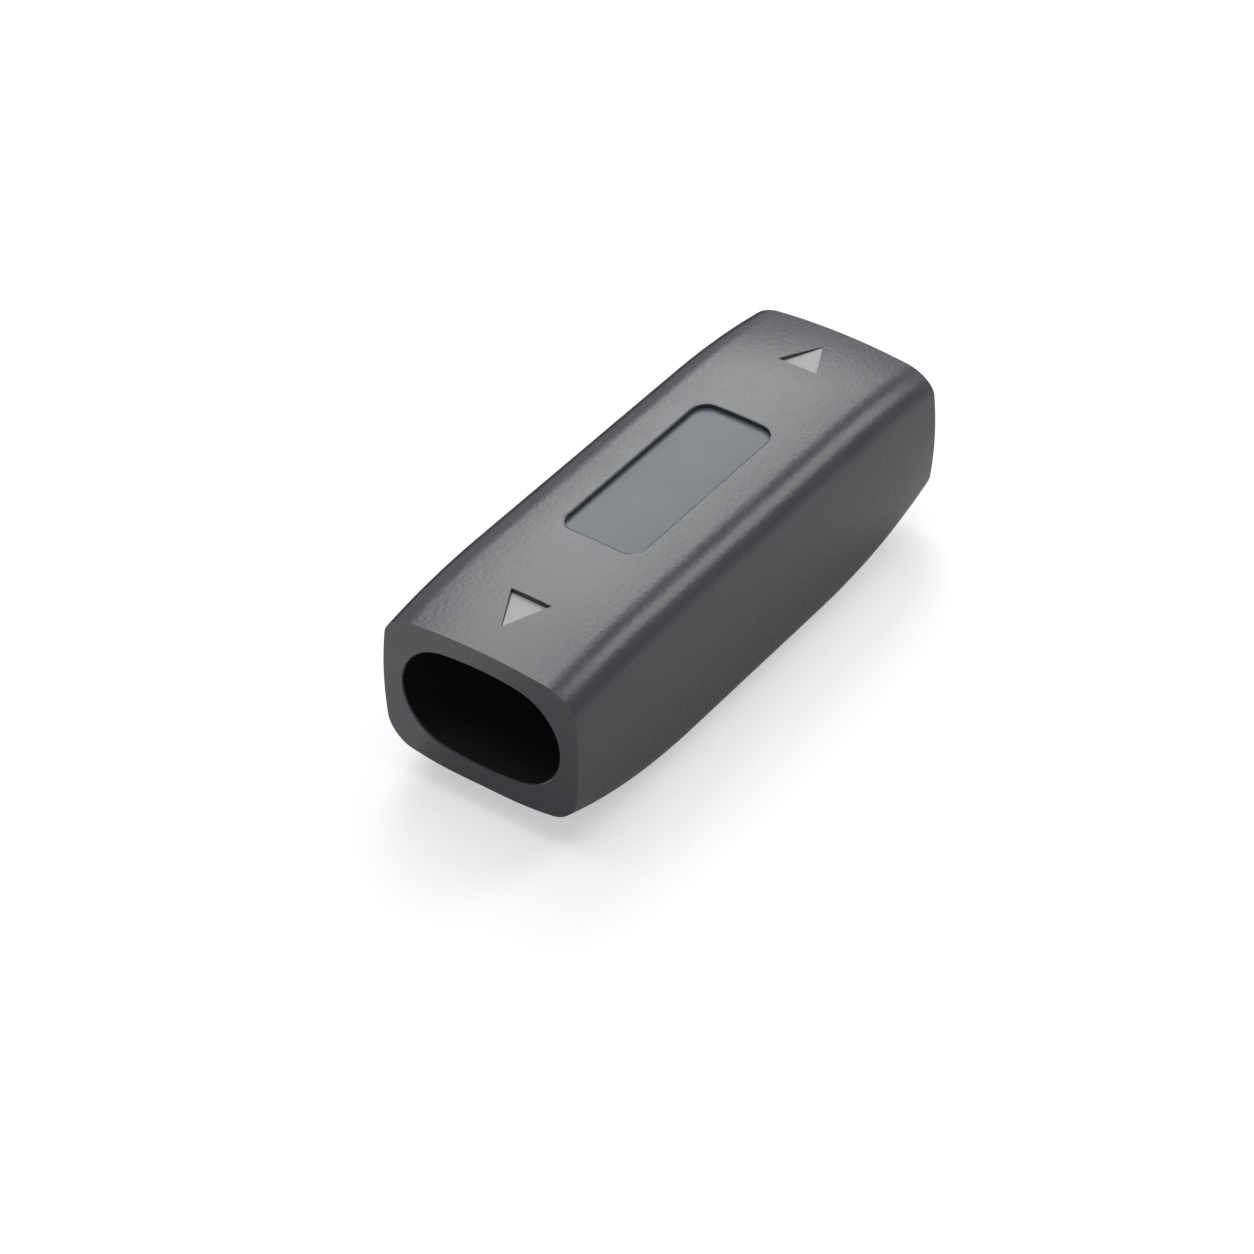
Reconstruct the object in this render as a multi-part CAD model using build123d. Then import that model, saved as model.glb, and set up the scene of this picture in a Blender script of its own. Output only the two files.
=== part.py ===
from build123d import *
import math
import os

# In-line coupler that joins two network cables outdoors. A seamless moulded body holds two
# eight-contact jacks back to back on one circuit board, each behind a deep obround socket
# that takes the sealing collar of a cable's plug.
# Lengths are in millimetres. X runs along the cables, with the front socket at -X, and Z is up.
# The origin is under the middle of the body, on the face that it rests on. Every piece is
# drawn about the sockets' common axis, at the +X end, and raised by axis_height when written.

# Moulded body, outer form
body_length = 65.0
body_width = 24.5
axis_height = 12.35
top_height = 10.0
side_draw = 12.5
top_draw = 15.0
bottom_draw = 20.5
side_fall = 0.16
top_fall = 1.2
bottom_fall = 3.5
side_crown = 0.55
top_crown = 0.95
bottom_crown = 1.15
foot_width = 6.0
top_corner = 3.75
bottom_corner = 3.9
end_stations = 9
edge_break = 0.15

# Obround sockets and the sleeves that line them
mouth_width = 19.5
mouth_height = 12.7
mouth_end_radius = 6.1
web_thickness = 1.2
lip_thickness = 0.25
sleeve_wall = 1.1
sleeve_corner = 1.0
window_margin = 0.6
tongue_length = 3.0
tongue_height = 8.0
tongue_fit = 0.05

# Recesses in the top, and what fills them
label_length = 25.6
label_width = 9.6
label_corner = 1.8
label_depth = 0.55
label_plate_thickness = 0.3
arrow_inset = 8.8
arrow_reach = 4.9
arrow_width = 4.9
arrow_depth = 0.33
arrow_inlay_thickness = 0.4
inlay_fit = 0.03

# Jacks, over their shields, each set back from the middle of the coupler
jack_gap = 0.6
jack_length = 15.8
jack_width = 16.3
jack_top = 7.0
jack_bottom = 6.35
sheet = 0.25
sheet_bend = 0.35
sheet_fit = 0.05
pocket_fit = 0.1

# Plug cavity with the stepped keyway for the plug's latch
cavity_width = 11.95
cavity_height = 6.9
cavity_depth = 12.2
latch_width = 6.3
latch_height = 1.3
catch_width = 4.1
catch_height = 1.0
catch_wall = 1.5
catch_chamber = 5.0
opening_margin = 0.1

# Contacts, bent from flat strip, and the block that holds them
contact_count = 8
contact_pitch = 1.016
contact_width = 0.46
contact_thickness = 0.3
contact_bend = 0.5
contact_rise = 1.3
spring_angle = 15.0
run_height = 1.6
nose_inset = 2.4
tip_inset = 0.75
tail_inset = 2.0
tail_row = 2.54
tail_stub = 0.45
carrier_width = 9.2
carrier_height = 2.75
carrier_nose = 1.0
nose_room = 0.9
comb_reach = 1.2
comb_slot = 0.6
comb_height = 2.0
comb_top = 0.2

# Earthing fingers of the shield, and its pegs
finger_height = 2.2
finger_root = 0.5
finger_fold = 0.25
finger_bend = 1.0
finger_level = 0.6
finger_bulge = 0.35
finger_peak = 3.8
finger_length = 6.2
finger_slot = 1.0
finger_room = 0.2
peg_width = 1.6
peg_inset = 6.6

# Circuit board
board_length = 31.0
board_width = 16.2
board_thickness = 1.6
board_relief = 0.75
ledge_width = 1.65
tail_hole = 0.8
tail_hole_sides = 8
post_diameter = 3.2
post_spread = 11.43
post_inset = 8.89
post_fit = 0.1

# Places that follow from the sizes above
end_face = body_length / 2
jack_back = jack_gap
jack_face = jack_back + jack_length
web_face = jack_face + web_thickness
arrow_base = end_face - arrow_inset
core_face = jack_face - sheet - sheet_fit
core_back = jack_back + sheet + sheet_fit
core_half_width = jack_width / 2 - sheet - sheet_fit
core_top = jack_top - sheet - sheet_fit
cavity_back = core_face - cavity_depth
cavity_floor = -cavity_height / 2
keyway_top = cavity_height / 2 + latch_height + catch_height
nose_x = jack_face - nose_inset
run_level = run_height - jack_bottom
board_underside = -jack_bottom - board_thickness
pocket_half_width = jack_width / 2 + pocket_fit
pocket_top = jack_top + pocket_fit
pocket_floor = board_underside - board_relief
half_turn = Rot(0, 0, 180)


def block(x_span, y_span, z_span):
    """A box between two limits along each axis."""
    spans = (x_span, y_span, z_span)
    size = [high - low for low, high in spans]
    middle = [(low + high) / 2 for low, high in spans]
    return Pos(*middle) * Box(*size)


def both_ways(half):
    """The span that reaches equally far to both sides."""
    return (-half, half)


def fall(x, draw, depth):
    """How far a long side has drawn in at x: along an arc, over the last stretch to the end."""
    radius = (draw**2 + depth**2) / (2 * depth)
    past = max(abs(x) - (end_face - draw), 0)
    return radius - math.sqrt(radius**2 - past**2)


def top_at(x):
    """Height of the body's crown line over the sockets' axis."""
    return top_height - fall(x, top_draw, top_fall)


def body_section(x):
    """Cross-section of the body at x: four crowned sides, a flat foot and rounded corners."""
    half = body_width / 2 - fall(x, side_draw, side_fall)
    top = top_at(x)
    bottom = fall(x, bottom_draw, bottom_fall) - axis_height
    corner_y = half - side_crown
    high = top - top_crown
    low = bottom + bottom_crown
    middle = (high + low) / 2
    foot = foot_width / 2
    flank = corner_y - foot
    flank_radius = (flank**2 + bottom_crown**2) / (2 * bottom_crown)
    flank_angle = math.asin(flank / flank_radius) / 2
    flank_y = foot + flank_radius * math.sin(flank_angle)
    flank_z = bottom + flank_radius * (1 - math.cos(flank_angle))
    outline = [
        ThreePointArc((-corner_y, high), (0, top), (corner_y, high)),
        ThreePointArc((corner_y, high), (half, middle), (corner_y, low)),
        ThreePointArc((corner_y, low), (flank_y, flank_z), (foot, bottom)),
        Line((foot, bottom), (-foot, bottom)),
        ThreePointArc((-foot, bottom), (-flank_y, flank_z), (-corner_y, low)),
        ThreePointArc((-corner_y, low), (-half, middle), (-corner_y, high)),
    ]
    face = make_face(outline)
    face = fillet(face.vertices().group_by(Axis.Y)[-1], top_corner)
    lower_corners = face.vertices().sort_by(lambda corner: abs(corner.Y - low))[:2]
    face = fillet(lower_corners, bottom_corner)
    return Plane.YZ.offset(x) * face


def jack_mouth(margin=0.0):
    """Outline of a jack's opening: the plug's body and, above it, the two steps of its latch."""
    half = cavity_height / 2
    steps = [
        (cavity_width, -half, half),
        (latch_width, half, half + latch_height),
        (catch_width, half + latch_height, keyway_top),
    ]
    outline = Sketch()
    for width, low, high in steps:
        height = high - low + 2 * margin
        outline += Pos(0, (low + high) / 2) * Rectangle(width + 2 * margin, height)
    return outline


def bent_strip(points, bends, thickness, width, across):
    """A strip of sheet metal bent along a path, with its width along one direction."""
    path = FilletPolyline(*points, radius=bends)
    start = Plane(origin=path @ 0, x_dir=across, z_dir=path % 0)
    return sweep(start * Rectangle(width, thickness), path=path)


def obround_bar(wall, x_span):
    """Obround bar with bowed long sides, larger than the socket's bore by a wall all round."""
    low, high = x_span
    half_height = mouth_height / 2
    end_y = mouth_width / 2 - mouth_end_radius
    side_radius = (end_y**2 + half_height**2 - mouth_end_radius**2) / (
        2 * (half_height - mouth_end_radius)
    )
    turn = math.asin(end_y / (side_radius - mouth_end_radius))
    y = (side_radius + wall) * math.sin(turn)
    z = (side_radius + wall) * math.cos(turn) - (side_radius - half_height)
    tip = mouth_width / 2 + wall
    top = half_height + wall
    outline = [
        ThreePointArc((-y, z), (0, top), (y, z)),
        ThreePointArc((y, z), (tip, 0), (y, -z)),
        ThreePointArc((y, -z), (0, -top), (-y, -z)),
        ThreePointArc((-y, -z), (-tip, 0), (-y, z)),
    ]
    return extrude(Plane.YZ.offset(low) * make_face(outline), high - low)


def collar_bore():
    """The space that the plug's sealing collar fills."""
    return obround_bar(0, (web_face, end_face))


def sleeve_form():
    """Outside of one sleeve: an obround tube that grows into the square jack pocket."""
    tube = obround_bar(sleeve_wall, (jack_face, end_face - lip_thickness))
    pocket = block(
        (0, web_face),
        both_ways(pocket_half_width + sleeve_wall),
        (pocket_floor - sleeve_wall, pocket_top + sleeve_wall),
    )
    return fillet(pocket.edges().filter_by(Axis.X), sleeve_corner) + tube


def sleeve():
    """Hard plastic sleeve: socket wall, web with the jack's window, and the jack's pocket."""
    form = sleeve_form() - collar_bore()
    form -= extrude(Plane.YZ.offset(jack_face) * jack_mouth(window_margin), web_thickness)
    form -= block(
        (0, jack_face), both_ways(pocket_half_width), (board_underside, pocket_top)
    )
    form -= block(
        (0, jack_face),
        both_ways(pocket_half_width - ledge_width),
        (pocket_floor, board_underside),
    )
    lap = pocket_half_width + sleeve_wall / 2
    level = both_ways(tongue_height / 2)
    form += block((-tongue_length, 0), (pocket_half_width, lap), level)
    notch_level = both_ways(tongue_height / 2 + tongue_fit)
    notch_x = (0, tongue_length + tongue_fit)
    form -= block(notch_x, (-lap - tongue_fit, -pocket_half_width), notch_level)
    return form


def label_outline(margin=0.0):
    """Rounded rectangle of the label's recess."""
    return RectangleRounded(
        label_length - 2 * margin, label_width - 2 * margin, label_corner - margin
    )


def arrow_outline(margin=0.0):
    """Triangle that points out along X, its base arrow_base from the middle of the body."""
    half = arrow_width / 2
    corners = [(arrow_base, -half), (arrow_base + arrow_reach, 0), (arrow_base, half)]
    triangle = make_face(Polyline(*corners, close=True))
    return offset(triangle, -margin, kind=Kind.INTERSECTION) if margin else triangle


def arrow_floor():
    """Height of the arrow's visible floor."""
    return top_at(arrow_base + arrow_reach / 2) - arrow_depth


def arrow_recess():
    """What is cut from the top for an arrow, down to a flat floor."""
    floor = arrow_floor() - arrow_inlay_thickness
    return extrude(Pos(0, 0, floor) * arrow_outline(), axis_height - floor)


def crown_bar(depth):
    """Round bar whose upper side lies a depth under the crowned top of the body's middle."""
    corner_y = body_width / 2 - side_crown
    radius = (corner_y**2 + top_crown**2) / (2 * top_crown)
    disc = Pos(0, top_height - radius) * Circle(radius - depth)
    return extrude(Plane.YZ.offset(-end_face) * disc, body_length)


def label_recess():
    """What is cut from the top for the label, down to a floor crowned like the top."""
    return extrude(label_outline(), axis_height) - crown_bar(label_depth + label_plate_thickness)


def label_plate():
    """Thin blank plate bonded into the label's recess, bent to the crown of its floor."""
    plate = extrude(label_outline(inlay_fit), top_height) & crown_bar(label_depth)
    return plate - crown_bar(label_depth + label_plate_thickness)


def arrow_inlay():
    """Pale triangle set in the bottom of an arrow's recess."""
    low = arrow_floor() - arrow_inlay_thickness
    return extrude(Pos(0, 0, low) * arrow_outline(inlay_fit), arrow_inlay_thickness)


def body_form():
    """Outside of the body: a straight middle and two ends whose sides draw in along arcs."""
    start = end_face - max(side_draw, top_draw, bottom_draw)
    step = (end_face - start) / (end_stations - 1)
    sections = [body_section(start + step * i) for i in range(end_stations)]
    end = loft(sections, ruled=True)
    return extrude(body_section(-start), 2 * start) + end + half_turn * end


def outer_body():
    """Seamless body moulded over the two joined sleeves."""
    form = body_form()
    form -= label_recess()
    arrow = arrow_recess()
    cut = sleeve_form() + collar_bore()
    for turn in (Rot(0, 0, 0), half_turn):
        form -= turn * arrow
        form -= turn * cut
    ends = form.faces().filter_by(Axis.X).group_by(Axis.X)
    rims = ends[0].edges() + ends[-1].edges()
    return chamfer(rims, edge_break)


def contact_y(index):
    """Place of a contact across the jack."""
    return (index - (contact_count - 1) / 2) * contact_pitch


def tail_x(index):
    """Place of a contact's tail along the jack: odd and even tails stand in two rows."""
    return core_back + tail_inset + tail_row * (index % 2)


def contact(index):
    """One contact: tail through the board, run along the carrier, turn and sloping spring."""
    y = contact_y(index)
    tip_x = cavity_back + tip_inset
    shoulder = run_level + contact_rise
    tip_z = shoulder + (nose_x - tip_x) * math.tan(math.radians(spring_angle))
    half = contact_thickness / 2
    tail = block(
        (tail_x(index) - half, tail_x(index) + half),
        (y - contact_width / 2, y + contact_width / 2),
        (board_underside - tail_stub, run_level + half),
    )
    points = [
        (tail_x(index), y, run_level),
        (nose_x, y, run_level),
        (nose_x, y, shoulder),
        (tip_x, y, tip_z),
    ]
    return tail + bent_strip(
        points, contact_bend, contact_thickness, contact_width, (0, 1, 0)
    )


def contact_carrier():
    """Block moulded round the contacts' runs. It forms the floor of the plug's cavity."""
    form = block(
        (core_back, nose_x - carrier_nose),
        both_ways(carrier_width / 2),
        (-jack_bottom, carrier_height - jack_bottom),
    )
    for index in range(contact_count):
        form -= contact(index)
    return form


def jack_body():
    """Insulating body of a jack: plug cavity, latch catch, contact comb and board posts."""
    form = block(
        (core_back, core_face), both_ways(core_half_width), (-jack_bottom, core_top)
    )
    form -= block(
        (cavity_back, core_face), both_ways(cavity_width / 2), both_ways(cavity_height / 2)
    )
    form -= extrude(Plane.YZ.offset(core_face) * jack_mouth(), -catch_wall)
    form -= block(
        (core_face - catch_wall - catch_chamber, core_face - catch_wall),
        both_ways(latch_width / 2),
        (0, keyway_top),
    )
    form -= block(
        (core_back, nose_x + nose_room),
        both_ways(carrier_width / 2 + sheet_fit),
        (-jack_bottom, cavity_floor),
    )
    slot_half = finger_height / 2 + finger_room
    form -= block(
        (jack_face - finger_length - finger_room, core_face),
        both_ways(cavity_width / 2 + finger_slot),
        (finger_level - slot_half, finger_level + slot_half),
    )
    for index in range(contact_count + 1):
        middle = contact_y(index) - contact_pitch / 2
        half = (contact_pitch - comb_slot) / 2
        form += block(
            (cavity_back, cavity_back + comb_reach),
            (middle - half, middle + half),
            (-comb_top - comb_height, -comb_top),
        )
    post = Cylinder(post_diameter / 2, board_thickness - post_fit)
    post_z = -jack_bottom - (board_thickness - post_fit) / 2
    for side in (-1, 1):
        form += Pos(post_x(), side * post_spread / 2, post_z) * post
    return form


def post_x():
    """Place of the jack's two board posts along X."""
    return core_back + tail_inset + post_inset


def earthing_finger():
    """Spring finger folded in from the edge of the shield's opening, on the +Y side."""
    panel_x = jack_face - sheet / 2
    edge_y = cavity_width / 2 + opening_margin + sheet / 2
    points = [
        (panel_x, edge_y + finger_root, finger_level),
        (panel_x, edge_y, finger_level),
        (jack_face - finger_peak, edge_y - sheet / 2 - finger_bulge, finger_level),
        (jack_face - finger_length, edge_y + sheet / 2, finger_level),
    ]
    folds = [finger_fold, finger_bend]
    return bent_strip(points, folds, sheet, finger_height, (0, 0, 1))


def jack_shield():
    """Can folded from sheet over a jack, open below, with earthing fingers and board pegs."""
    can = block(
        (jack_back, jack_face), both_ways(jack_width / 2), (-jack_bottom, jack_top)
    )
    can = fillet(can.edges().filter_by(Axis.Z), sheet_bend)
    can -= block(
        (jack_back + sheet, jack_face - sheet),
        both_ways(jack_width / 2 - sheet),
        (-jack_bottom, jack_top - sheet),
    )
    can -= extrude(Plane.YZ.offset(jack_face) * jack_mouth(opening_margin), -sheet)
    finger = earthing_finger()
    peg = block(
        (jack_face - peg_inset - peg_width, jack_face - peg_inset),
        (jack_width / 2 - sheet, jack_width / 2),
        (board_underside + post_fit, sheet - jack_bottom),
    )
    for piece in (finger, peg):
        can += piece + mirror(piece, Plane.XZ)
    return can


def circuit_board():
    """Board that carries both jacks, with plated holes for tails and posts and peg notches."""
    board = block(
        both_ways(board_length / 2),
        both_ways(board_width / 2),
        (board_underside, -jack_bottom),
    )
    tail_holes = Sketch()
    for index in range(contact_count):
        hole = RegularPolygon(tail_hole / 2, tail_hole_sides)
        tail_holes += Pos(tail_x(index), contact_y(index)) * hole
    post_holes = Sketch()
    for side in (-1, 1):
        post_holes += Pos(post_x(), side * post_spread / 2) * Circle(
            post_diameter / 2 + post_fit
        )
    holes = Pos(0, 0, board_underside) * extrude(tail_holes + post_holes, board_thickness)
    peg_x = (jack_face - peg_inset - peg_width - post_fit, jack_face - peg_inset + post_fit)
    for turn in (Rot(0, 0, 0), half_turn):
        board -= turn * holes
        for side in (-1, 1):
            edge = [side * (jack_width / 2 - sheet - post_fit), side * jack_width / 2]
            board -= turn * block(peg_x, sorted(edge), (board_underside, -jack_bottom))
    return board


def write(name, shape):
    """Put a piece at its height over the resting face and save it."""
    export_step(Pos(0, 0, axis_height) * shape, f"parts/{name}.step")


def main():
    os.makedirs("parts", exist_ok=True)
    write("outer_body", outer_body())
    write("label_plate", label_plate())
    write("circuit_board", circuit_board())
    pieces = {
        "arrow_inlay": arrow_inlay(),
        "socket_sleeve": sleeve(),
        "jack_body": jack_body(),
        "jack_shield": jack_shield(),
        "contact_carrier": contact_carrier(),
    }
    for index in range(contact_count):
        pieces[f"contact_{index + 1}"] = contact(index)
    for end, turn in (("front", half_turn), ("rear", Rot(0, 0, 0))):
        for name, shape in pieces.items():
            write(f"{end}_{name}", turn * shape)


main()
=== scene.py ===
import bmesh
import bpy
from math import asin, copysign, cos, pi, radians, sin, sqrt
from mathutils import Matrix, Vector


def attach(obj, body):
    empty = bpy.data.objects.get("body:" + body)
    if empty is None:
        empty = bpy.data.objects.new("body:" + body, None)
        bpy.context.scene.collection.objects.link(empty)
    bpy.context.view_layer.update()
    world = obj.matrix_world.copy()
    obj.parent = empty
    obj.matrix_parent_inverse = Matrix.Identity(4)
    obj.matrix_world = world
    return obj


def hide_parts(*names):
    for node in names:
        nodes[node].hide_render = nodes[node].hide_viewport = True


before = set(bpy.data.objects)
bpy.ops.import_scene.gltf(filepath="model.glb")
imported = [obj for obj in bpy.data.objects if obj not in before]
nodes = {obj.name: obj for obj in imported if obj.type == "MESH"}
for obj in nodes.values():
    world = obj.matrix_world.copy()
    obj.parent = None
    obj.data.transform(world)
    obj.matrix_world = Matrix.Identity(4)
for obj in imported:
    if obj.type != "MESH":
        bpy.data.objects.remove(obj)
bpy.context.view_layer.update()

# Contacts. Eight springs in each jack, bent from phosphor bronze strip and gold plated. Their
# tails are soldered into the board.


class Shade:
    """A socket of a material's nodes, so that its maths reads as plain sums."""

    def __init__(self, tree, socket=None):
        self.tree = tree
        self.socket = socket

    def node(self, kind, settings, inputs, output=0):
        """The output of a new node: its settings first, then its sockets' values or links."""
        made = self.tree.nodes.new(kind)
        for name, value in settings.items():
            setattr(made, name, value)
        for name, value in inputs.items():
            if isinstance(value, Shade):
                self.tree.links.new(value.socket, made.inputs[name])
            else:
                made.inputs[name].default_value = value
        return Shade(self.tree, made.outputs[output])

    def maths(self, operation, first, second):
        """The output of a Math node on two values or sockets."""
        return self.node("ShaderNodeMath", {"operation": operation}, {0: first, 1: second})

    def __add__(self, other):
        return self.maths("ADD", self, other)

    def __sub__(self, other):
        return self.maths("SUBTRACT", self, other)

    def __rsub__(self, other):
        return self.maths("SUBTRACT", other, self)

    def __mul__(self, other):
        return self.maths("MULTIPLY", self, other)

    __radd__ = __add__
    __rmul__ = __mul__

    def noise(self, scale, detail):
        """Soft random grey at this place, with so many features to a metre."""
        return self.node(
            "ShaderNodeTexNoise", {}, {"Vector": self, "Scale": scale, "Detail": detail}
        )

    def blend(self, dark, light):
        """A colour between two, by this factor."""
        colours = {"Factor": self, 6: (*dark, 1), 7: (*light, 1)}
        return self.node("ShaderNodeMix", {"data_type": "RGBA"}, colours, 2)


def new_finish(name, looks):
    """A material whose surface shader gets the looks that a function gives for a place."""
    material = bpy.data.materials.new(name)
    material.use_nodes = True
    tree = material.node_tree
    surface = tree.nodes["Principled BSDF"]
    place = Shade(tree).node("ShaderNodeTexCoord", {}, {}, "Object")
    for socket, look in looks(place).items():
        if isinstance(look, Shade):
            tree.links.new(look.socket, surface.inputs[socket])
        else:
            surface.inputs[socket].default_value = look
    return material


def drawn_gold(place):
    """Gold over drawn strip: fine marks along it change its colour and its shine."""
    along_strip = {"Vector": place, "Scale": (100.0, 2000.0, 400.0)}
    marks = place.node("ShaderNodeMapping", {}, along_strip).noise(3.0, 2.0)
    return {
        "Base Color": marks.blend((0.78, 0.55, 0.18), (0.88, 0.68, 0.28)),
        "Roughness": marks * 0.15 + 0.16,
        "Metallic": 1.0,
    }


def finish_piece(piece, node, finish):
    """Give a new piece its finish and its slot, and let it stand for a node."""
    piece.data.materials.clear()
    piece.data.materials.append(finish)
    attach(piece, "root")
    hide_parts(node)


def smooth_copy(name, finish):
    """A piece of the same form as a node, with its facets merged and smoothed."""
    form = bmesh.new()
    form.from_mesh(nodes[name].data)
    bmesh.ops.remove_doubles(form, verts=form.verts, dist=merge_distance)
    mesh = bpy.data.meshes.new(name)
    form.to_mesh(mesh)
    form.free()
    mesh.shade_smooth()
    mesh.set_sharp_from_angle(angle=radians(facet_angle))
    piece = bpy.data.objects.new(f"{name}_smooth", mesh)
    bpy.context.scene.collection.objects.link(piece)
    finish_piece(piece, name, finish)


merge_distance = 1e-6
facet_angle = 25
ends = ("front", "rear")
contact_count = 8
contact_finish = new_finish("contact_gold", drawn_gold)
for end in ends:
    for index in range(1, contact_count + 1):
        smooth_copy(f"{end}_contact_{index}", contact_finish)

# Jack bodies and contact carriers. Satin black glass-filled mouldings: the carriers are moulded
# round the contacts' runs, and the bodies hold them and stand on two posts in the board.


def moulded(colour, roughness, grain, depth, mottle=0.05, specular=0.5):
    """Moulded plastic: grain of a given size and depth, and faint cloudiness of its shade."""
    cloud_size = 0.00625

    def looks(place):
        fine = place.noise(1 / grain, 2.0)
        broad = place.noise(1 / cloud_size, 3.0)
        cloud = (broad + fine) * 0.5
        bump = {"Strength": 0.5, "Distance": depth, "Height": fine}
        return {
            "Base Color": cloud.blend(
                [part * (1 - 2 * mottle) for part in colour],
                [part * (1 + 2 * mottle) for part in colour],
            ),
            "Roughness": (broad - 0.5) * 0.12 + (fine - 0.5) * 0.1 + roughness,
            "Normal": place.node("ShaderNodeBump", {}, bump),
            "Specular IOR Level": specular,
        }

    return looks


jack_colour = (0.018, 0.018, 0.020)
jack_finish = new_finish(
    "jack_black", moulded(jack_colour, roughness=0.34, grain=0.00015, depth=0.000006)
)
for end in ends:
    for part in ("jack_body", "contact_carrier"):
        nodes[f"{end}_{part}"].material_slots[0].material = jack_finish

# Jack shields. Cans folded from tinned sheet and pushed over the jack bodies, with two earthing
# fingers at the opening and two pegs soldered into the board.


def tinned_sheet(place):
    """Tinned sheet: long soft streaks left by rolling."""
    as_rolled = {"Vector": place, "Scale": (60.0, 900.0, 900.0)}
    streaks = place.node("ShaderNodeMapping", {}, as_rolled).noise(4.0, 3.0)
    return {
        "Base Color": streaks.blend((0.62, 0.61, 0.58), (0.78, 0.77, 0.74)),
        "Roughness": streaks * 0.2 + 0.22,
        "Metallic": 1.0,
    }


shield_finish = new_finish("shield_tinned", tinned_sheet)
for end in ends:
    smooth_copy(f"{end}_jack_shield", shield_finish)

# Circuit board. Glass laminate under green solder mask. It joins the two jacks back to back and
# rests on ledges in the sleeves.
mask_colour = (0.02, 0.09, 0.045)
board_finish = new_finish(
    "board_green", moulded(mask_colour, roughness=0.3, grain=0.0004, depth=0.000003, mottle=0.1)
)
nodes["circuit_board"].material_slots[0].material = board_finish

# Socket sleeves. Two hard matt black mouldings that line the sockets and close round the jacks
# and the board. They lap at the middle and are held by the body moulded round them.
sleeve_colour = (0.006, 0.006, 0.007)
sleeve_finish = new_finish(
    "sleeve_black",
    moulded(sleeve_colour, roughness=0.6, grain=0.0003, depth=0.00001, specular=0.3),
)
for end in ends:
    smooth_copy(f"{end}_socket_sleeve", sleeve_finish)

# Outer body. A seamless shell of matt dark-grey plastic, moulded over the two sleeves, so that
# no parting line shows. The mould forms its crowned sides, its ends that draw in, the recesses
# for the label and the arrows, and the lips of the two mouths.
body_length = 65.0
body_width = 24.5
axis_height = 12.35
top_height = 10.0
side_draw = 12.5
top_draw = 15.0
bottom_draw = 20.5
side_fall = 0.16
top_fall = 1.2
bottom_fall = 3.5
side_crown = 0.55
top_crown = 0.95
bottom_crown = 1.15
foot_half = 3.0
top_round_across = 3.3
top_round_down = 2.25
bottom_round = 2.65
round_segments = 16
end_rim = 0.15
end_rim_segments = 2
end_face = body_length / 2
corner_y = body_width / 2 - side_crown
corner_high = top_height - top_crown
corner_low = bottom_crown - axis_height


def fall(x, draw, depth):
    """How far a long side has drawn in at x, along an arc over the last stretch to the end."""
    radius = (draw**2 + depth**2) / (2 * depth)
    past = max(abs(x) - (end_face - draw), 0)
    return radius - sqrt(radius**2 - past**2)


def top_surface(x, y):
    """Height of the crowned top over the sockets' axis."""
    return top_height - fall(x, top_draw, top_fall) - top_crown * (y / corner_y) ** 2


def crown(point):
    """Move a point of the straight block to its place on the crowned and drawn-in form."""
    x, y, z = point
    across = y / corner_y
    low = corner_low + bottom_round
    rise = min(max((z - low) / (corner_high - top_round_down - low), 0), 1)
    level = (2 * z - corner_high - corner_low) / (corner_high - corner_low)
    flank = max((abs(y) - foot_half) / (corner_y - foot_half), 0)
    lift = top_crown * (1 - across**2) - fall(x, top_draw, top_fall)
    drop = bottom_crown * (1 - flank**2) - fall(x, bottom_draw, bottom_fall)
    spread = side_crown * (1 - level**2) - fall(x, side_draw, side_fall)
    return Vector((x, y + across * spread, z + rise * lift - (1 - rise) * drop))


def round_off(form, parts, offset, segments, affect="EDGES"):
    """Round some edges or corners of a form."""
    bmesh.ops.bevel(
        form, geom=parts, offset=offset, offset_type="OFFSET", segments=segments,
        profile=0.5, affect=affect, material=-1, clamp_overlap=True,
    )


def edges_along_x(form):
    """The edges of a form that run along the body."""
    return [
        edge for edge in form.edges
        if abs(edge.verts[0].co.x - edge.verts[1].co.x) > edge.calc_length() / 2
    ]


def cut_grid(form, *reaches):
    """Cut a form along planes 1 mm apart, so that its faces can follow a curved surface."""
    for normal, reach in zip(((1, 0, 0), (0, 1, 0), (0, 0, 1)), reaches):
        for step in range(-int(reach), int(reach) + 1):
            bmesh.ops.bisect_plane(
                form, geom=form.verts[:] + form.edges[:] + form.faces[:],
                plane_co=Vector(normal) * step, plane_no=normal, dist=1e-4,
            )


def make_piece(name, form):
    """An object from a form in millimetres about the sockets' axis."""
    place = Matrix.Scale(0.001, 4) @ Matrix.Translation((0, 0, axis_height))
    bmesh.ops.transform(form, verts=form.verts, matrix=place)
    bmesh.ops.recalc_face_normals(form, faces=form.faces)
    mesh = bpy.data.meshes.new(name)
    form.to_mesh(mesh)
    form.free()
    piece = bpy.data.objects.new(name, mesh)
    bpy.context.scene.collection.objects.link(piece)
    return piece


# The rounding of the upper edges reaches further across the top than down the sides, so the
# block is stretched upwards while they are rounded.
stretch = top_round_across / top_round_down
body_form = bmesh.new()
bmesh.ops.create_cube(
    body_form, size=1,
    matrix=Matrix.Translation((0, 0, stretch * (corner_high + corner_low) / 2))
    @ Matrix.Diagonal((body_length, 2 * corner_y, stretch * (corner_high - corner_low), 1)),
)
long_edges = edges_along_x(body_form)
upper_edges = [edge for edge in long_edges if edge.verts[0].co.z > 0]
lower_edges = [edge for edge in long_edges if edge.verts[0].co.z < 0]
round_off(body_form, upper_edges, top_round_across, round_segments)
bmesh.ops.scale(body_form, verts=body_form.verts, vec=(1, 1, 1 / stretch))
round_off(body_form, lower_edges, bottom_round, round_segments)
cut_grid(body_form, end_face, corner_y, top_height)
for vert in body_form.verts:
    vert.co = crown(vert.co)
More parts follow.
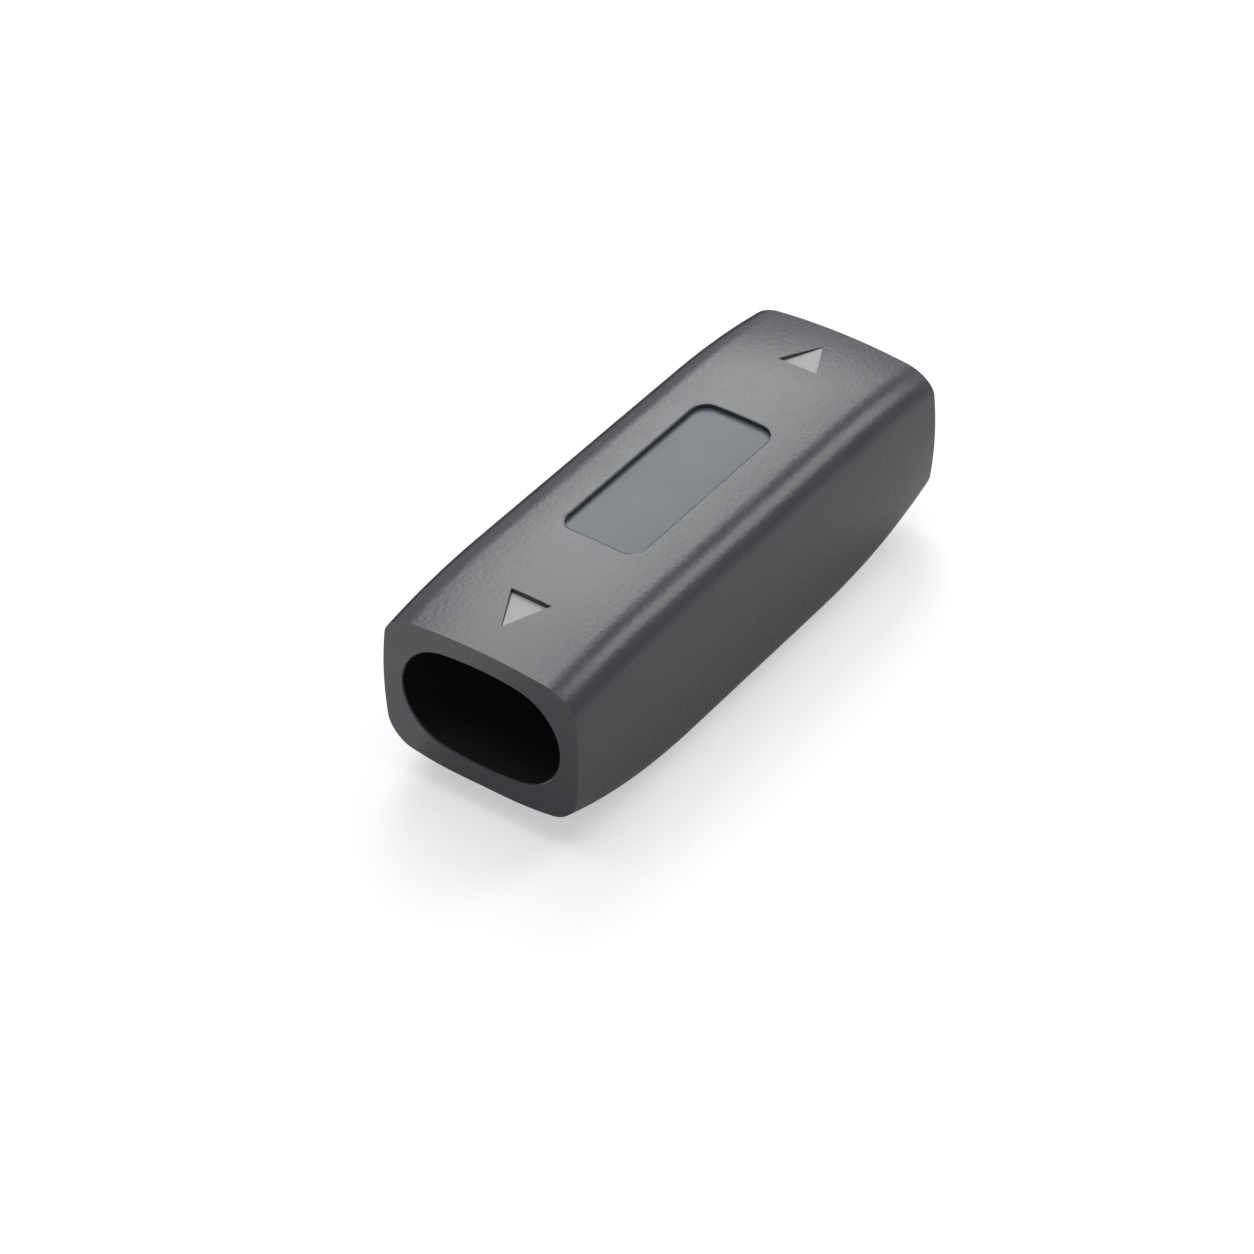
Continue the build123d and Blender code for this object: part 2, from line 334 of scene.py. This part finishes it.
end_rims = [
    edge for edge in body_form.edges
    if edge.calc_face_angle(0) > 1 and all(abs(v.co.x) > end_face - 0.01 for v in edge.verts)
]
round_off(body_form, end_rims, end_rim, end_rim_segments)
outer_body = make_piece("outer_body_shell", body_form)

# Each recess is cut by a tool that flares where it leaves the surface, for the eased rim of a
# moulding. The label's floor follows the crown of the top, and the arrows' floors are flat.
rim_depth = 0.05
room_over = 1.0
label_rim = 0.18
arrow_rim = 0.05
label_length = 25.6
label_width = 9.6
label_corner = 1.8
label_corner_segments = 12
label_floor_depth = 0.85
arrow_reach = 4.9
arrow_half_width = 2.45
arrow_tip_round = 0.1
arrow_tip_segments = 3
arrow_floor_depth = 0.73
arrow_base = end_face - 8.8
arrow_middle = arrow_base + arrow_reach * arrow_half_width / (
    arrow_half_width + sqrt(arrow_half_width**2 + arrow_reach**2)
)
tools = []


def extrude_cap(form, cap, keep):
    """Extrude the faces that close a form, keep them as its first end or not, return the new."""
    made = bmesh.ops.extrude_face_region(form, geom=cap)["geom"]
    if not keep:
        bmesh.ops.delete(form, geom=cap, context="FACES")
    return [part for part in made if isinstance(part, bmesh.types.BMFace)]


def recess_tool(name, form, floor, middle_x, widen):
    """Cut a recess of a flat outline: floor, wall, flared rim and the room over it."""
    for vert in form.verts:
        vert.co.z = floor(vert.co)
    cap = form.faces[:]
    for over_surface, grow in ((-rim_depth, 0), (rim_depth, 1), (room_over, 0)):
        cap = extrude_cap(form, cap, over_surface < 0)
        for vert in {vert for face in cap for vert in face.verts}:
            vert.co.x += grow * widen[0] * (vert.co.x - middle_x)
            vert.co.y += grow * widen[1] * vert.co.y
            vert.co.z = top_surface(vert.co.x, vert.co.y) + over_surface
    tools.append(make_piece(name, form))


label_form = bmesh.new()
bmesh.ops.create_grid(
    label_form, x_segments=1, y_segments=1, size=0.5,
    matrix=Matrix.Diagonal((label_length, label_width, 1, 1)),
)
round_off(label_form, label_form.verts[:], label_corner, label_corner_segments, "VERTICES")
cut_grid(label_form, 0, label_width / 2)
recess_tool(
    "label_tool", label_form, lambda co: top_surface(co.x, co.y) - label_floor_depth,
    0, (4 * label_rim / label_length, 4 * label_rim / label_width),
)
arrow_floor = top_surface(arrow_base + arrow_reach / 2, 0) - arrow_floor_depth
for turn in (1, -1):
    arrow_form = bmesh.new()
    corners = ((0, -arrow_half_width), (arrow_reach, 0), (0, arrow_half_width))
    arrow_form.faces.new([
        arrow_form.verts.new((turn * (arrow_base + along), turn * across, 0))
        for along, across in corners
    ])
    round_off(arrow_form, arrow_form.verts[:], arrow_tip_round, arrow_tip_segments, "VERTICES")
    cut_grid(arrow_form, end_face, arrow_half_width)
    spread = 2 * arrow_rim / (arrow_middle - arrow_base)
    recess_tool(
        "arrow_tool", arrow_form, lambda co: arrow_floor, turn * arrow_middle, (spread, spread)
    )

# The mouths and the seats of the sleeves. The sockets are obround, with slightly bowed long
# sides, and a thin lip of the body covers the sleeve's end.
mouth_width = 19.5
mouth_height = 12.7
mouth_end_radius = 6.1
mouth_flare = 0.1
lip = 0.25
sleeve_wall = 1.1
web_face = 17.6
pocket_width = 18.7
pocket_height = 18.0
pocket_middle = -0.8
pocket_corner = 1.0
pocket_corner_segments = 6
overlap = 1.0
half_mouth = mouth_height / 2
end_y = mouth_width / 2 - mouth_end_radius
side_radius = (end_y**2 + half_mouth**2 - mouth_end_radius**2) / (
    2 * (half_mouth - mouth_end_radius)
)
bow_angle = asin(end_y / (side_radius - mouth_end_radius))
circle_steps = 96


def socket_tool(name, rings):
    """Cut along X with the socket's outline, through rings at an x with a wall round the bore."""
    form = bmesh.new()
    facing_x = Matrix.Rotation(pi / 2, 4, "Y") @ Matrix.Rotation(pi / circle_steps, 4, "Z")
    bmesh.ops.create_circle(
        form, cap_ends=True, radius=1, segments=circle_steps, matrix=facing_x
    )
    cap = form.faces[:]
    for step in range(1, len(rings)):
        cap = extrude_cap(form, cap, step == 1)
        bmesh.ops.translate(form, verts=list(cap[0].verts), vec=(1, 0, 0))
    for vert in form.verts:
        x, wall = rings[round(vert.co.x)]
        facing = Vector((0, vert.co.y, vert.co.z))
        if abs(facing.z) > cos(bow_angle):
            centre = Vector((x, 0, copysign(1, facing.z) * (half_mouth - side_radius)))
            vert.co = centre + facing * (side_radius + wall)
        else:
            centre = Vector((x, copysign(end_y, facing.y), 0))
            vert.co = centre + facing * (mouth_end_radius + wall)
    tools.append(make_piece(name, form))


for turn in (1, -1):
    mouth = ((lip + overlap, 0), (mouth_flare, 0), (0, mouth_flare), (-overlap, mouth_flare))
    socket_tool("mouth_tool", [(turn * (end_face - inward), wall) for inward, wall in mouth])
    seat = (web_face - overlap, end_face - lip)
    socket_tool("seat_tool", [(turn * x, sleeve_wall) for x in seat])
pocket_form = bmesh.new()
bmesh.ops.create_cube(
    pocket_form, size=1,
    matrix=Matrix.Translation((0, 0, pocket_middle))
    @ Matrix.Diagonal((2 * web_face, pocket_width, pocket_height, 1)),
)
round_off(pocket_form, edges_along_x(pocket_form), pocket_corner, pocket_corner_segments)
tools.append(make_piece("pocket_tool", pocket_form))

# The tools cut the body, and the slivers that the cuts leave are cleared away. Edges sharper
# than the facets of a rounding stay sharp.
body_facet_angle = 12
for tool in tools:
    cut = outer_body.modifiers.new(tool.name, "BOOLEAN")
    cut.operation = "DIFFERENCE"
    cut.solver = "EXACT"
    cut.object = tool
cut_mesh = bpy.data.meshes.new_from_object(
    outer_body.evaluated_get(bpy.context.evaluated_depsgraph_get())
)
outer_body.modifiers.clear()
cut_form = bmesh.new()
cut_form.from_mesh(cut_mesh)
bmesh.ops.dissolve_degenerate(cut_form, edges=cut_form.edges, dist=merge_distance)
cut_form.to_mesh(cut_mesh)
cut_form.free()
outer_body.data = cut_mesh
outer_body.data.shade_smooth()
outer_body.data.set_sharp_from_angle(angle=radians(body_facet_angle))
for tool in tools:
    bpy.data.objects.remove(tool)
body_colour = (0.049, 0.052, 0.060)
body_finish = new_finish(
    "body_grained", moulded(body_colour, roughness=0.27, grain=0.00045, depth=0.00004, mottle=0.1)
)
finish_piece(outer_body, "outer_body", body_finish)

# Label plate. A thin blank plate, smoother and a little bluer than the body, bonded into the
# label's recess and bent to its crown. Nothing is printed on it.
label_colour = (0.066, 0.076, 0.092)
label_finish = new_finish(
    "label_satin",
    moulded(label_colour, roughness=0.40, grain=0.0001, depth=0.000004, mottle=0.02),
)
smooth_copy("label_plate", label_finish)

# Arrow inlays. Pale grey triangles, moulded apart and pressed into the arrow recesses. Each
# points to the socket at its end.
arrow_colour = (0.34, 0.34, 0.35)
arrow_finish = new_finish(
    "arrow_pale",
    moulded(arrow_colour, roughness=0.6, grain=0.0002, depth=0.00001, mottle=0.03, specular=0.3),
)
for end in ends:
    nodes[f"{end}_arrow_inlay"].material_slots[0].material = arrow_finish

# Studio. The camera looks down on the front socket from its left. The floor is plain white,
# and three soft panels and an even white surrounding light the object. Two cards on the floor,
# seen only in reflections, keep the body's edges and sides dark against it.
camera_elevation = 39.7
camera_turn = -54.49
camera = bpy.data.objects.new("camera", bpy.data.cameras.new("camera"))
camera.location = (-0.29012, -0.20174, 0.29560)
camera.rotation_euler = (radians(90 - camera_elevation), 0, radians(camera_turn))
camera.data.lens = 125.2
camera.data.sensor_width = 36
bpy.context.scene.collection.objects.link(camera)
bpy.context.scene.camera = camera


def flat_sheet(name, x_span, y_span, height, finish):
    """A level sheet of the studio between two limits along X and Y."""
    form = bmesh.new()
    bmesh.ops.create_grid(
        form, x_segments=1, y_segments=1, size=0.5,
        matrix=Matrix.Translation((sum(x_span) / 2, sum(y_span) / 2, height))
        @ Matrix.Diagonal((x_span[1] - x_span[0], y_span[1] - y_span[0], 1, 1)),
    )
    mesh = bpy.data.meshes.new(name)
    form.to_mesh(mesh)
    form.free()
    sheet = bpy.data.objects.new(name, mesh)
    bpy.context.scene.collection.objects.link(sheet)
    sheet.data.materials.append(finish)
    return sheet


floor_grey = 0.5
floor_glow = 0.5
floor_reach = 3


def white_floor(place):
    """White paper that keeps the object's shadow and shows white where it is seen."""
    seen = sum(
        place.node("ShaderNodeLightPath", {}, {}, f"Is {ray} Ray")
        for ray in ("Camera", "Glossy", "Transmission")
    )
    return {
        "Base Color": (floor_grey, floor_grey, floor_grey, 1),
        "Roughness": 0.9,
        "Emission Color": seen,
        "Emission Strength": floor_glow,
    }


def card_paper(grey):
    """Dull card of one grey."""
    return lambda place: {
        "Base Color": (grey, grey, grey, 1), "Roughness": 1.0, "Specular IOR Level": 0.0,
    }


floor_span = (-floor_reach, floor_reach)
flat_sheet("floor", floor_span, floor_span, 0, new_finish("floor_white", white_floor))
card_height = 0.0002
cards = (
    ("far_card", (-0.03, 0.35), (0.016, 0.4), 0.01),
    ("near_card", (-0.35, 0.35), (-0.35, 0.011), 0.57),
)
for name, x_span, y_span, grey in cards:
    card = flat_sheet(name, x_span, y_span, card_height, new_finish(name, card_paper(grey)))
    for ray in ("camera", "diffuse", "shadow", "transmission"):
        setattr(card, f"visible_{ray}", False)


def panel(name, azimuth, elevation, roll, distance, size, radiance):
    """A soft light that faces the object from a direction in degrees, rolled and of a radiance."""
    light = bpy.data.lights.new(name, "AREA")
    light.shape = "RECTANGLE"
    light.size, light.size_y = size
    light.energy = radiance * pi * size[0] * size[1]
    lamp = bpy.data.objects.new(name, light)
    level = cos(radians(elevation))
    towards = Vector((
        level * cos(radians(azimuth)), level * sin(radians(azimuth)), sin(radians(elevation)),
    ))
    lamp.location = Vector((0, 0, axis_height / 1000)) + towards * distance
    turns = ((azimuth + 90, "Z"), (90 - elevation, "X"), (roll, "Z"))
    about_z, about_x, rolled = [Matrix.Rotation(radians(turn), 3, axis) for turn, axis in turns]
    lamp.rotation_euler = (about_z @ about_x @ rolled).to_euler()
    bpy.context.scene.collection.objects.link(lamp)


# The first two are rolled so that their sides follow the body's long edges as it mirrors them.
panel("far_panel", 40.5, 47.5, roll=60, distance=0.8, size=(0.68, 0.37), radiance=4.2)
panel("side_panel", -30, 46.5, roll=-53, distance=0.8, size=(0.52, 0.28), radiance=3.5)
panel("overhead", 145, 80, roll=0, distance=0.9, size=(0.6, 0.6), radiance=3.0)
world = bpy.data.worlds.new("studio")
world.use_nodes = True
surrounding = world.node_tree.nodes["Background"]
surrounding.inputs["Color"].default_value = (1, 1, 1, 1)
surrounding.inputs["Strength"].default_value = 0.35
bpy.context.scene.world = world
bpy.context.scene.view_settings.view_transform = "Standard"
